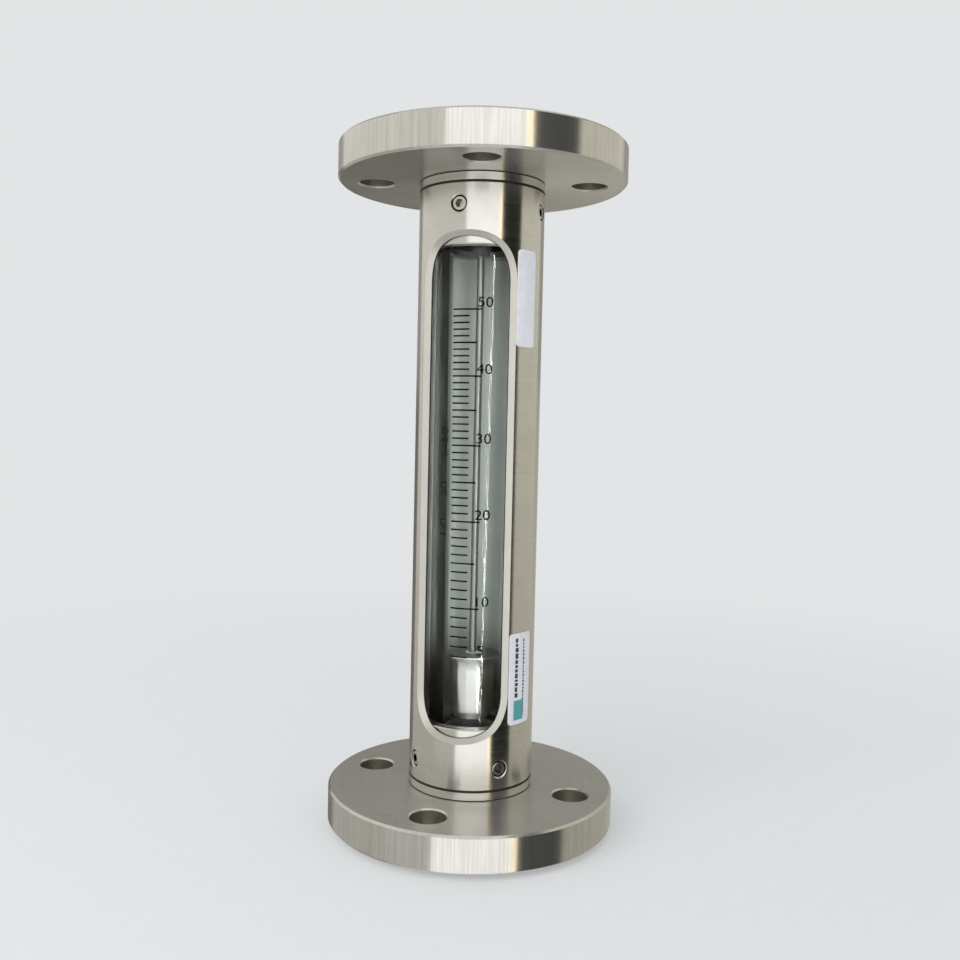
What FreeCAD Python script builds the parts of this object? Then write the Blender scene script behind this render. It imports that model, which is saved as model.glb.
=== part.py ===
"""Variable-area flow meter: a float in a tapered glass tube, between two flanges.

The frame has +Z up along the flow and its origin at the centre of the lower sealing
face.  The front window faces -Y.  Lengths are in millimetres.  Angles are in degrees
about Z, from the middle of the front window towards +X.

The lower half is modelled where it stands.  The upper half is its mirror image, with
bolt holes and set screws at their own angles.
"""
import FreeCAD, Part
import math
import os
from FreeCAD import Vector

# Overall
overall_length = 273.0           # sealing face to sealing face

# Plate flanges with DN 25, PN 16 drilling
flange_diameter = 115.0
flange_thickness = 14.0          # without the raised face
flange_edge = 0.8                # chamfer on both edges of the rim
raised_face_diameter = 68.0
raised_face_height = 2.0
bolt_circle = 85.0
bolt_hole = 14.0
bolt_hole_edge = 0.6             # chamfer on both ends of a hole
bolt_count = 4
lower_bolt_turn = -8.0           # degrees
upper_bolt_turn = 12.0           # degrees

# Housing tube
housing_diameter = 50.0
housing_wall = 2.5
joint_edge = 0.4                 # chamfer on each side of the two joint lines

# Window cut through the front of the housing
window_half_angle = 42.5         # degrees
window_end_height = 17.0         # height of each rounded end
window_bevel = 1.9               # bevel round the outer edge
spigot_reveal = 3.1              # how far the window runs past a spigot's end

# End fittings: neck through the flange, collar, spigot inside the housing
neck_diameter = 33.7
neck_clearance = 0.15            # radial, to the flange bore
collar_height = 3.8
spigot_length = 23.2
spigot_clearance = 0.1           # radial, to the housing bore
spigot_wall = 1.9                # round the seal and its gland ring
chamber_depth = 9.0              # houses the spider
spider_ledge = 1.5               # radial width of the spider's seat
pocket_depth = 12.0              # receives the glass and its seals
pocket_clearance = 0.5           # radial, to the glass
mouth_edge = 0.4

# Glass metering tube
glass_wall = 6.0                 # at the narrow end of the bore
glass_widening = 1.1             # of the bore's radius, from end to end
glass_straight_end = 27.0        # length of each untapered end of the bore
glass_edge = 0.5

# Seals and gland rings
gasket_thickness = 2.0
gasket_width = 4.0               # radial width of its seat
oring_section = 3.0              # radial space between the glass and its seat
gland_height = 2.9
seal_clearance = 0.05            # between a seal or gland ring and its seat

# Guide rod and its spiders
rod_diameter = 3.0
rod_clearance = 0.05             # radial, to fixed pieces on the rod
spider_clearance = 0.1           # radial, to the chamber
spider_thickness = 2.5
spider_rim = 1.8                 # radial width
spider_arm = 2.2                 # width
spider_arms = 3
hub_diameter = 7.0
hub_height = 4.0                 # over the spider's seat
hub_floor = 1.2                  # closed end under the rod
ring_thickness = 1.2             # retaining ring
ring_groove = 0.9                # depth of its groove
ring_width = 2.2                 # radial
ring_gap_angle = 40.0            # degrees, opening of the ring
ring_clearance = 0.1

# Float and its stops
stop_diameter = 7.2
stop_thickness = 4.2
lower_stop_reach = 0.0           # how far a stop stands past its spigot's end
upper_stop_reach = 2.0
stop_sleeve = 5.0                # outer diameter of the sleeve behind the stop
stop_edge = 0.4
float_height = 25.7
float_gap = 0.3                  # radial, to the narrow end of the glass bore
float_rest_gap = 0.3             # to the lower stop
float_overhang = 2.0             # radial, of the head over the body
float_taper = 0.4                # radial, from the flare to the foot
float_foot_bevel = 2.0           # radial
float_bevel_height = 3.0
float_rim = 0.6                  # thickness of the sharp rim
float_flare = 6.0                # height of the flare under the rim
float_flare_hollow = 0.76        # depth of the flare's arc under its chord
float_bore_clearance = 0.6       # radial, to the rod
bush_diameter = 6.0
bush_length = 4.0
bush_running_gap = 0.1           # radial, to the rod
bush_seat_clearance = 0.03

# Set screws that hold the housing on the spigots
screw_diameter = 6.0
screw_length = 5.0
screw_sink = 0.4                 # below the housing surface
screw_hole_clearance = 0.15
screw_socket = 3.0               # across flats
screw_socket_depth = 2.5
screw_edge = 0.5
screw_point = 1.0                # bevel at the inner end
screw_distance = 8.2             # from the end of the housing tube
screw_count = 4
lower_screw_turn = 40.0          # degrees
upper_screw_turn = -8.0          # degrees

# Blank adhesive labels beside the front window
label_thickness = 0.25
label_clearance = 0.02
label_corner = 1.4
upper_label_turn = 58.6          # degrees
upper_label_width = 9.8
upper_label_height = 37.0
upper_label_distance = 24.6      # from the end of the housing tube
lower_label_turn = 61.8          # degrees
lower_label_width = 12.2
lower_label_height = 35.8
lower_label_distance = 24.8      # from the end of the housing tube

overrun = 1.0                    # of a cutting tool, past the surface that it cuts
match = 0.01                     # distance within which two places are the same

# Levels of the lower half
flange_top = raised_face_height + flange_thickness
collar_top = flange_top + collar_height
spigot_top = collar_top + spigot_length
pocket_floor = spigot_top - pocket_depth
spider_seat = pocket_floor - chamber_depth
glass_end = pocket_floor + gasket_thickness
gland_floor = spigot_top - gland_height
seal_floor = gland_floor - oring_section - 2 * seal_clearance
rod_end = spider_seat + hub_floor
hub_top = spider_seat + hub_height
window_end = spigot_top - spigot_reveal
screw_level = collar_top + screw_distance
float_foot = spigot_top + lower_stop_reach + float_rest_gap
lower_label_bottom = collar_top + lower_label_distance
upper_label_top = overall_length - collar_top - upper_label_distance

# Radii that several pieces share
housing_radius = housing_diameter / 2
housing_bore_radius = housing_radius - housing_wall
spigot_radius = housing_bore_radius - spigot_clearance
seal_seat_radius = spigot_radius - spigot_wall
glass_radius = seal_seat_radius - oring_section
glass_low_radius = glass_radius - glass_wall
glass_high_radius = glass_low_radius + glass_widening
pocket_radius = glass_radius + pocket_clearance
chamber_radius = pocket_radius - gasket_width
flow_radius = chamber_radius - spider_ledge
rod_radius = rod_diameter / 2
screw_hole_radius = screw_diameter / 2 + screw_hole_clearance
screw_head_radius = housing_radius - screw_sink
screw_tip_radius = screw_head_radius - screw_length

middle = overall_length / 2
axis = Vector(0, 0, 1)
origin = Vector(0, 0, 0)


def turned(outline):
    """Solid of revolution about Z from a closed outline of (radius, height) points."""
    points = [Vector(r, 0, z) for r, z in outline]
    wire = Part.makePolygon(points + points[:1])
    return Part.Face(wire).revolve(origin, axis, 360)


def cylinder(radius, bottom, top):
    """Upright cylinder on the axis."""
    return Part.makeCylinder(radius, top - bottom, Vector(0, 0, bottom), axis)


def turned_to(shape, angle):
    """Copy of a shape, turned about Z."""
    copy = shape.copy()
    copy.rotate(origin, axis, angle)
    return copy


def upper(shape):
    """Mirror image of a lower-half shape, for the upper half."""
    return shape.mirror(Vector(0, 0, middle), axis)


def ring_of(shape, count, first_angle):
    """Copies of a shape, evenly spaced about Z."""
    return [turned_to(shape, first_angle + 360.0 * i / count) for i in range(count)]


def radial_bar(radius, inner_end, outer_end, level):
    """Round bar that points from the axis to the front, at a height."""
    return Part.makeCylinder(radius, outer_end - inner_end,
                             Vector(0, -inner_end, level), Vector(0, -1, 0))


def flange(bolt_turn):
    """Lower flange: bevelled plate with a raised face, neck bore and bolt holes."""
    rim = flange_diameter / 2
    face = raised_face_diameter / 2
    bore = neck_diameter / 2 + neck_clearance
    plate = turned([
        (bore, 0), (face, 0), (face, raised_face_height),
        (rim - flange_edge, raised_face_height),
        (rim, raised_face_height + flange_edge),
        (rim, flange_top - flange_edge), (rim - flange_edge, flange_top),
        (bore, flange_top)])
    hole = bolt_hole / 2
    edge = bolt_hole_edge
    drill = turned([
        (0, raised_face_height), (hole + edge, raised_face_height),
        (hole, raised_face_height + edge), (hole, flange_top - edge),
        (hole + edge, flange_top), (0, flange_top)])
    drill.translate(Vector(0, -bolt_circle / 2, 0))
    return plate.cut(ring_of(drill, bolt_count, bolt_turn))


def end_fitting(screw_turn):
    """Lower end fitting: neck, collar and spigot, bored in steps for its inner pieces."""
    neck = neck_diameter / 2
    groove_bottom = spider_seat + spider_thickness
    groove_top = groove_bottom + ring_thickness + ring_clearance
    groove = chamber_radius + ring_groove
    body = turned([
        (flow_radius, 0), (neck, 0), (neck, flange_top),
        (housing_radius - joint_edge, flange_top),
        (housing_radius, flange_top + joint_edge),
        (housing_radius, collar_top - joint_edge),
        (housing_radius - joint_edge, collar_top),
        (spigot_radius, collar_top), (spigot_radius, spigot_top - mouth_edge),
        (spigot_radius - mouth_edge, spigot_top), (seal_seat_radius, spigot_top),
        (seal_seat_radius, seal_floor), (pocket_radius, seal_floor),
        (pocket_radius, pocket_floor), (chamber_radius, pocket_floor),
        (chamber_radius, groove_top), (groove, groove_top),
        (groove, groove_bottom), (chamber_radius, groove_bottom),
        (chamber_radius, spider_seat), (flow_radius, spider_seat)])
    dimple = radial_bar(screw_hole_radius, screw_tip_radius, housing_radius, screw_level)
    return body.cut(ring_of(dimple, screw_count, screw_turn))


def window_end_arc(centre, half, height):
    """Half of an ellipse, from one side of its centre to the other past its tip.

    The tip lies above the centre, or below it where the height is negative.
    """
    side = centre + Vector(half, 0, 0)
    tip = centre + Vector(0, 0, height)
    if abs(height) > half:
        ellipse = Part.Ellipse(tip, side, centre)
        return Part.ArcOfEllipse(ellipse, -math.pi / 2, math.pi / 2).toShape()
    ellipse = Part.Ellipse(side, tip, centre)
    return Part.ArcOfEllipse(ellipse, 0, math.pi).toShape()


def window_outline(depth):
    """Window outline on the plane y = -depth: straight sides and half-ellipse ends.

    Its half-width grows with the depth, so that the sides point at the axis.
    """
    half = depth * math.tan(math.radians(window_half_angle))
    low = window_end + window_end_height
    high = overall_length - low
    edges = [window_end_arc(Vector(0, -depth, low), half, -window_end_height),
             window_end_arc(Vector(0, -depth, high), half, window_end_height)]
    for x in (-half, half):
        edges.append(Part.makeLine(Vector(x, -depth, low), Vector(x, -depth, high)))
    return Part.Wire(Part.__sortEdges__(edges))


def window_cutter():
    """Ruled solid through the front wall, with sides that point at the axis."""
    inner_corner = housing_bore_radius * math.cos(math.radians(window_half_angle))
    outlines = [window_outline(inner_corner - overrun),
                window_outline(housing_radius + overrun)]
    return Part.makeLoft(outlines, True, True)


def on_housing_surface(point):
    """True for a point on the outer surface of the housing tube."""
    return abs(math.hypot(point.x, point.y) - housing_radius) < match


def is_window_edge(edge):
    """True for an edge on the outer surface that belongs to the window."""
    first, last = edge.ParameterRange
    points = [edge.valueAt(t) for t in (first, (first + last) / 2, last)]
    low = window_end - match
    high = overall_length - window_end + match
    return all(on_housing_surface(p) and low < p.z < high for p in points)


def housing_tube():
    """Tube with a bevelled front window, and set-screw holes at both ends."""
    top = overall_length - collar_top
    tube = turned([
        (housing_bore_radius, collar_top), (housing_radius - joint_edge, collar_top),
        (housing_radius, collar_top + joint_edge), (housing_radius, top - joint_edge),
        (housing_radius - joint_edge, top), (housing_bore_radius, top)])
    tube = tube.cut(window_cutter())
    edges = [edge for edge in tube.Edges if is_window_edge(edge)]
    tube = tube.makeChamfer(window_bevel, edges)
    hole = radial_bar(screw_hole_radius, housing_bore_radius - overrun,
                      housing_radius + overrun, screw_level)
    holes = ring_of(hole, screw_count, lower_screw_turn)
    holes += ring_of(upper(hole), screw_count, upper_screw_turn)
    return tube.cut(holes)


def glass_tube():
    """Glass tube with a bore that widens upwards between two straight ends."""
    top = overall_length - glass_end
    low = glass_low_radius
    high = glass_high_radius
    return turned([
        (low + glass_edge, glass_end), (glass_radius - glass_edge, glass_end),
        (glass_radius, glass_end + glass_edge), (glass_radius, top - glass_edge),
        (glass_radius - glass_edge, top), (high + glass_edge, top),
        (high, top - glass_edge), (high, top - glass_straight_end),
        (low, glass_end + glass_straight_end), (low, glass_end + glass_edge)])


def glass_gasket():
    """Flat ring between the pocket floor and the end of the glass."""
    outer = pocket_radius - seal_clearance
    return cylinder(outer, pocket_floor, glass_end).cut(
        cylinder(chamber_radius, pocket_floor, glass_end))


def glass_oring():
    """O-ring round the glass, under the gland ring."""
    centre = Vector(0, 0, seal_floor + oring_section / 2 + seal_clearance)
    return Part.makeTorus(glass_radius + oring_section / 2,
                          oring_section / 2 - seal_clearance, centre, axis)


def gland_ring():
    """Ring in the mouth of the spigot that holds the O-ring down."""
    inner = glass_radius + pocket_clearance / 2
    outer = seal_seat_radius - seal_clearance
    return turned([
        (inner, gland_floor), (outer, gland_floor), (outer, spigot_top),
        (inner + mouth_edge, spigot_top), (inner, spigot_top - mouth_edge)])


def rod_spider():
    """Ring, arms and hub that hold one end of the guide rod in the chamber."""
    outer = chamber_radius - spider_clearance
    plate_top = spider_seat + spider_thickness
    rim = cylinder(outer, spider_seat, plate_top).cut(
        cylinder(outer - spider_rim, spider_seat, plate_top))
    arm = Part.makeBox(spider_arm, outer - spider_rim / 2, spider_thickness,
                       Vector(-spider_arm / 2, 0, spider_seat))
    hub = cylinder(hub_diameter / 2, spider_seat, hub_top)
    spider = rim.fuse(ring_of(arm, spider_arms, 0) + [hub])
    spider = spider.cut(cylinder(rod_radius + rod_clearance, rod_end, hub_top))
    return spider.removeSplitter()


def retaining_ring():
    """Open snap ring in the groove over the spider."""
    outer = chamber_radius + ring_groove - ring_clearance
    bottom = spider_seat + spider_thickness
    height = ring_thickness
    sweep = 360 - ring_gap_angle
    start = Vector(0, 0, bottom)
    ring = Part.makeCylinder(outer, height, start, axis, sweep)
    return ring.cut(Part.makeCylinder(outer - ring_width, height, start, axis, 360))


def float_stop(reach):
    """Disc on the rod near the spigot's end, with a sleeve that rests on the hub."""
    bore = rod_radius + rod_clearance
    disc = stop_diameter / 2
    sleeve = stop_sleeve / 2
    disc_top = spigot_top + reach
    disc_bottom = disc_top - stop_thickness
    return turned([
        (bore, hub_top), (sleeve, hub_top), (sleeve, disc_bottom),
        (disc - stop_edge, disc_bottom), (disc, disc_bottom + stop_edge),
        (disc, disc_top - stop_edge), (disc - stop_edge, disc_top),
        (bore, disc_top)])


def float_outline():
    """Edges of the float's outer profile, from the foot to the rim.

    The body widens a little upwards, then flares in a hollow arc to a thin rim.
    """
    foot = float_foot
    head = glass_low_radius - float_gap
    body = head - float_overhang
    base = body - float_taper
    rim_bottom = foot + float_height - float_rim
    flare_bottom = rim_bottom - float_flare
    seat = bush_diameter / 2
    start = Vector(body, 0, flare_bottom)
    end = Vector(head, 0, rim_bottom)
    inward = Vector(start.z - end.z, 0, end.x - start.x).normalize()
    halfway = (start + end) / 2 + inward * float_flare_hollow
    points = [Vector(seat, 0, foot), Vector(base - float_foot_bevel, 0, foot),
              Vector(base, 0, foot + float_bevel_height), start]
    edges = [Part.makeLine(a, b) for a, b in zip(points, points[1:])]
    edges.append(Part.Arc(start, halfway, end).toShape())
    top = foot + float_height
    points = [end, Vector(head, 0, top), Vector(seat, 0, top)]
    edges += [Part.makeLine(a, b) for a, b in zip(points, points[1:])]
    return edges, foot, top


def float_body():
    """Turned float with a flared head, bored for the rod and its two bushes."""
    edges, foot, top = float_outline()
    seat = bush_diameter / 2
    bore = rod_radius + float_bore_clearance
    points = [Vector(seat, 0, top), Vector(seat, 0, top - bush_length),
              Vector(bore, 0, top - bush_length), Vector(bore, 0, foot + bush_length),
              Vector(seat, 0, foot + bush_length), Vector(seat, 0, foot)]
    edges += [Part.makeLine(a, b) for a, b in zip(points, points[1:])]
    return Part.Face(Part.Wire(edges)).revolve(origin, axis, 360)


def float_bush(bottom):
    """Plain bush pressed into one end of the float."""
    outer = bush_diameter / 2 - bush_seat_clearance
    return cylinder(outer, bottom, bottom + bush_length).cut(
        cylinder(rod_radius + bush_running_gap, bottom, bottom + bush_length))


def hexagon_bar(across_flats, inner_end, outer_end, level):
    """Hexagonal bar that points from the axis to the front."""
    corner = across_flats / math.sqrt(3)
    points = []
    for i in range(7):
        angle = math.radians(60 * i)
        points.append(Vector(corner * math.cos(angle), -inner_end,
                             level + corner * math.sin(angle)))
    face = Part.Face(Part.makePolygon(points))
    return face.extrude(Vector(0, inner_end - outer_end, 0))


def set_screw():
    """Headless screw with a hexagon socket, at the front of the lower fitting."""
    radius = screw_diameter / 2
    body = turned([
        (0, 0), (radius - screw_point, 0), (radius, screw_point),
        (radius, screw_length - screw_edge), (radius - screw_edge, screw_length),
        (0, screw_length)])
    body.rotate(origin, Vector(1, 0, 0), 90)
    body.translate(Vector(0, -screw_tip_radius, screw_level))
    socket = hexagon_bar(screw_socket, screw_head_radius - screw_socket_depth,
                         screw_head_radius, screw_level)
    return body.cut(socket)


def label(turn, width, bottom, top):
    """Thin curved label on the housing, with rounded corners."""
    inner = housing_radius + label_clearance
    outer = inner + label_thickness
    sleeve = cylinder(outer, bottom, top).cut(cylinder(inner, bottom, top))
    half = outer * math.sin(width / outer / 2)
    blank = Part.makeBox(2 * half, outer + overrun, top - bottom,
                         Vector(-half, -outer - overrun, bottom))
    corners = [edge for edge in blank.Edges if is_depth_edge(edge)]
    blank = blank.makeFillet(label_corner, corners)
    return turned_to(sleeve.common(blank), turn)


def is_depth_edge(edge):
    """True for a straight edge along Y."""
    start, end = (vertex.Point for vertex in edge.Vertexes)
    return abs(start.y - end.y) > abs(start.x - end.x) + abs(start.z - end.z)


def fixed_parts():
    """Every piece that stays with the housing."""
    parts = {
        "lower_flange": flange(lower_bolt_turn),
        "upper_flange": upper(flange(upper_bolt_turn)),
        "lower_end_fitting": end_fitting(lower_screw_turn),
        "upper_end_fitting": upper(end_fitting(upper_screw_turn)),
        "housing_tube": housing_tube(),
        "glass_tube": glass_tube(),
        "guide_rod": cylinder(rod_radius, rod_end, overall_length - rod_end),
        "lower_float_stop": float_stop(lower_stop_reach),
        "upper_float_stop": upper(float_stop(upper_stop_reach)),
        "upper_label": label(upper_label_turn, upper_label_width,
                             upper_label_top - upper_label_height, upper_label_top),
        "lower_label": label(lower_label_turn, lower_label_width,
                             lower_label_bottom, lower_label_bottom + lower_label_height)}
    pairs = {"glass_gasket": glass_gasket, "oring": glass_oring,
             "gland_ring": gland_ring, "rod_spider": rod_spider,
             "retaining_ring": retaining_ring}
    for name, make in pairs.items():
        parts["lower_" + name] = make()
        parts["upper_" + name] = upper(make())
    return parts


def screws():
    """Four set screws in each end of the housing, one node each."""
    parts = {}
    lower_screws = ring_of(set_screw(), screw_count, lower_screw_turn)
    upper_screws = ring_of(upper(set_screw()), screw_count, upper_screw_turn)
    for i in range(screw_count):
        parts[f"set_screw_lower_{i + 1}"] = lower_screws[i]
        parts[f"set_screw_upper_{i + 1}"] = upper_screws[i]
    return parts


def moving_parts():
    """The float and its bushes, resting on the lower stop."""
    return {"float_body": float_body(),
            "float_lower_bush": float_bush(float_foot),
            "float_upper_bush": float_bush(float_foot + float_height - bush_length)}


def main():
    """Write one STEP file for each piece."""
    os.makedirs("parts", exist_ok=True)
    for make in (fixed_parts, screws, moving_parts):
        for name, shape in make().items():
            shape.Solids[0].exportStep(f"parts/{name}.step")


main()
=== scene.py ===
"""Looks of a variable-area flow meter: steel, glass, printed scale, labels and a plain studio.

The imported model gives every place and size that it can.  Lengths are in metres and the
frame is the model's own: +Z up along the flow, front window towards -Y.  Angles about
the axis are measured from the front towards +X.
"""
import math

import bmesh
import bpy
import numpy as np
from bpy.props import FloatProperty, FloatVectorProperty, PointerProperty
from mathutils import Matrix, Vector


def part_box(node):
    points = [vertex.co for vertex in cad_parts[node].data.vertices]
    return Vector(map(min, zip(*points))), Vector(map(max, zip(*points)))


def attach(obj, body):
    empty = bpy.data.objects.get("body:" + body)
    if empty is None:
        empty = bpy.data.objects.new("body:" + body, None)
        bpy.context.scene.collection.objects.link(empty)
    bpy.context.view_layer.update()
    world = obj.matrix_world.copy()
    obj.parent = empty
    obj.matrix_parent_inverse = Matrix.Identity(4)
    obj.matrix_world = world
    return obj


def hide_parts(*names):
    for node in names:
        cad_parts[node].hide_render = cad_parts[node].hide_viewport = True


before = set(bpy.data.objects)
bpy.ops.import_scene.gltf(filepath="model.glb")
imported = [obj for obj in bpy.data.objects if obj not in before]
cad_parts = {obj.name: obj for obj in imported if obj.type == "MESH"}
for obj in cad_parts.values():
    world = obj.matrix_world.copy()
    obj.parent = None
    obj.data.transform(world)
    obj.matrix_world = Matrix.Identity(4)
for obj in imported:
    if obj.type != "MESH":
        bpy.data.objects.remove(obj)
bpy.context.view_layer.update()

bl_info = {
    "name": "Flow Meter Looks",
    "version": (1, 0, 0),
    "blender": (4, 5, 0),
    "location": "View3D > Sidebar > Flow Meter",
    "description": "Builds the visible pieces, finishes and studio of a glass tube flow meter",
    "category": "Object",
}

MM = 0.001
ENDS = ("lower", "upper")
QUARTERS = [math.radians(90 * i) for i in range(4)]


# ---------------------------------------------------------------- colours and sizes

def linear(hex_colour):
    """Linear RGBA from an sRGB hex colour such as '#c0ffee'."""
    channels = [int(hex_colour[i:i + 2], 16) / 255 for i in (1, 3, 5)]
    return tuple(c / 12.92 if c <= 0.04045 else ((c + 0.055) / 1.055) ** 2.4
                 for c in channels) + (1.0,)


def length(name, description, default_mm):
    """Length property with its default given in millimetres."""
    return FloatProperty(name=name, description=description, default=default_mm * MM,
                         min=0.0, precision=5, unit="LENGTH")


def angle(name, description, default_degrees):
    """Angle property with its default given in degrees."""
    return FloatProperty(name=name, description=description,
                         default=math.radians(default_degrees), unit="ROTATION")


def colour(name, description, default_hex):
    """Colour property with its default given as sRGB hex."""
    return FloatVectorProperty(name=name, description=description, subtype="COLOR", size=4,
                               min=0.0, max=1.0, default=linear(default_hex))


class MeterSizes(bpy.types.PropertyGroup):
    """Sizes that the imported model's boxes don't give."""
    flange_edge: length("Flange Edge", "Chamfer on both edges of a flange rim", 0.8)
    face_radius: length("Raised Face Radius", "Radius of a sealing face", 34)
    face_height: length("Raised Face Height", "Height of a sealing face", 2)
    neck_bore: length("Neck Bore", "Radius of a flange's bore", 17)
    bolt_circle: length("Bolt Circle", "Radius of the bolt circle", 42.5)
    bolt_hole: length("Bolt Hole", "Radius of a bolt hole", 7)
    bolt_edge: length("Bolt Hole Edge", "Chamfer on a bolt hole", 0.6)
    lower_bolts: angle("Lower Bolt Turn", "Angle of the first lower bolt hole", -8)
    upper_bolts: angle("Upper Bolt Turn", "Angle of the first upper bolt hole", 12)
    wall: length("Housing Wall", "Wall of the housing tube", 2.5)
    joint_edge: length("Joint Edge", "Chamfer on each side of a joint line", 0.4)
    window_half: angle("Window Half Angle", "Half of the window's width", 42.5)
    window_end: length("Window End", "Height of a rounded window end", 17)
    window_gap: length("Window Gap", "From a window's end to the tube's end", 20.1)
    window_bevel: length("Window Bevel", "Bevel round the window's outer edge", 1.9)
    screw_hole: length("Screw Hole", "Radius of a set-screw hole", 3.15)
    screw_distance: length("Screw Distance", "From a set screw to the tube's end", 8.2)
    screw_sink: length("Screw Hole Edge", "Countersink on a set-screw hole", 0.25)
    lower_screws: angle("Lower Screw Turn", "Angle of the first lower set screw", 40)
    upper_screws: angle("Upper Screw Turn", "Angle of the first upper set screw", -8)
    neck: length("Neck Radius", "Radius of an end fitting's neck", 16.85)
    flow_bore: length("Flow Bore", "Radius of the bore through an end fitting", 12.5)
    spigot: length("Spigot Radius", "Radius of the spigot inside the housing", 22.4)
    seal_seat: length("Seal Seat", "Radius of the mouth that holds the seals", 20.5)
    flange_line: length("Flange Joint Line", "Half height of the dark line at a flange", 0.22)
    tube_line: length("Tube Joint Line", "Half height of the dark line at the tube", 0.5)
    glass_edge: length("Glass Edge", "Ground edge on both ends of the glass", 0.5)
    bore_low: length("Lower Bore", "Radius of the glass bore at its lower end", 11.5)
    bore_high: length("Upper Bore", "Radius of the glass bore at its upper end", 12.6)
    bore_straight: length("Straight Bore", "Length of each untapered end of the bore", 27)
    tick: length("Tick Width", "Width of a printed scale line", 0.62)
    tick_turn: angle("Tick Turn", "Angle of the left ends of the lines, 70 mm up", -17.6)
    tick_span: angle("Tick Span", "Angle that a short line takes", 23)
    five_span: angle("Five Span", "Angle that the line of a five takes", 32.5)
    ten_turn: angle("Ten Turn", "Angle of the right end of a ten's line, 70 mm up", 19.9)
    print_lift: length("Print Lift", "How far the print stands off the glass", 0.03)
    digit: length("Digit Height", "Height of a printed number", 3.9)
    number_lift: length("Number Lift", "From a line to the foot of its number", 0.9)
    number_turn: angle("Number Turn", "Angle of the numbers' left edge, 70 mm up", 12.2)
    single_shift: angle("Single Shift", "How much further right a lone digit stands", 5)
    side_turn: angle("Side Number Turn", "Angle of the numbers that read upwards", -27.7)
    float_overhang: length("Float Overhang", "Reach of the float's head over its body", 2)
    float_taper: length("Float Taper", "How much narrower the body is at its foot", 0.4)
    float_rim: length("Float Rim", "Thickness of the float's measuring edge", 0.6)
    float_flare: length("Float Flare", "Height of the flare under the edge", 6)
    float_hollow: length("Float Hollow", "Depth of the flare's arc under its chord", 0.76)
    float_bore: length("Float Bore", "Radius of the bore for the bushes", 3)
    stop_sleeve: length("Stop Sleeve", "Radius of a float stop's sleeve", 2.5)
    stop_disc: length("Stop Disc", "Thickness of a float stop's disc", 4.2)
    film: length("Film", "Thickness of a label", 0.25)
    film_corner: length("Film Corner", "Radius of a label's corners", 1.4)
    upper_film_turn: angle("Upper Label Turn", "Angle of the upper label's middle", 58.6)
    upper_film_width: length("Upper Label Width", "Width of the upper label", 9.8)
    lower_film_turn: angle("Lower Label Turn", "Angle of the lower label's middle", 61.8)
    lower_film_width: length("Lower Label Width", "Width of the lower label", 12.2)


class MeterColours(bpy.types.PropertyGroup):
    """Colours of the finishes."""
    steel: colour("Steel", "Turned stainless steel", "#d1cfc9")
    flange: colour("Flange Steel", "Faced stainless steel plate", "#cbc9c3")
    drilled: colour("Drilled Steel", "Walls of the bolt holes", "#9a9588")
    joint: colour("Joint Line", "Shadow in a joint line", "#15130f")
    inside: colour("Inner Steel", "Bored inner wall of the housing", "#e8e8e1")
    # Painted shade: the colour that darkens the bored wall where it is made to look unlit.
    oil: colour("Painted Shade", "Oil that darkens the bored wall", "#6f6858")
    cut: colour("Cut Edge", "Shadowed wall of the window's cut", "#2b2925")
    bevel: colour("Bevel", "Filed bevel round the window", "#c6c4bd")
    polished: colour("Polished Steel", "Polished skin of the float", "#efede8")
    # Painted shade: the float's top face is darker than its skin.
    crown: colour("Faced Crown", "Faced top of the float", "#77776f")
    rod: colour("Rod Steel", "Drawn guide rod", "#a3a39d")
    machined: colour("Machined Steel", "Rings and spiders inside", "#d2d0ca")
    screw: colour("Screw Steel", "Set screws", "#cfccc6")
    acetal: colour("Acetal", "Moulded float stops", "#4a464b")
    rubber: colour("Rubber", "Nitrile O-rings", "#1c1c1d")
    ptfe: colour("PTFE", "Gaskets and bushes", "#e4e4df")
    glass: colour("Glass", "Clear glass seen through", "#fdfefe")
    passed: colour("Passed Light", "Tint of lamp light that has passed the glass", "#f6faf9")
    ink: colour("Ink", "Fired scale ink", "#070a09")
    film: colour("Label Film", "White polyester label film", "#e2e3ea")
    accent: colour("Label Accent", "Printed field on the lower label", "#4fa3a6")
    bars: colour("Label Print", "Printed bars on the lower label", "#3c3f42")
    floor: colour("Floor", "Studio floor and background", "#e2e4e5")


def sizes():
    """The scene's sizes."""
    return bpy.context.scene.meter_sizes


def colours():
    """The scene's colours."""
    return bpy.context.scene.meter_colours


# ---------------------------------------------------------------- mesh code

def around(radius, turn, height):
    """Points at a radius, an angle from the front towards +X, and a height."""
    radius, turn, height = np.broadcast_arrays(radius, turn, height)
    return np.stack([radius * np.sin(turn), -radius * np.cos(turn), height], axis=-1)


def grid_faces(rows, columns, wrap=False, start=0):
    """Quads of a grid of points, row by row; wrap joins the last column to the first."""
    i = np.arange(rows - 1)[:, None]
    j = np.arange(columns if wrap else columns - 1)[None, :]
    k = (j + 1) % columns
    quads = np.stack([i * columns + j, i * columns + k,
                      (i + 1) * columns + k, (i + 1) * columns + j], axis=-1)
    return quads.reshape(-1, 4) + start


def make_object(name, mesh):
    """New object for a mesh, in the scene."""
    piece = bpy.data.objects.new(name, mesh)
    bpy.context.scene.collection.objects.link(piece)
    return piece


def smooth(mesh, sharp_degrees=30):
    """Smooth shading, with edges over the given angle kept sharp."""
    mesh.shade_smooth()
    mesh.set_sharp_from_angle(angle=math.radians(sharp_degrees))


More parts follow.
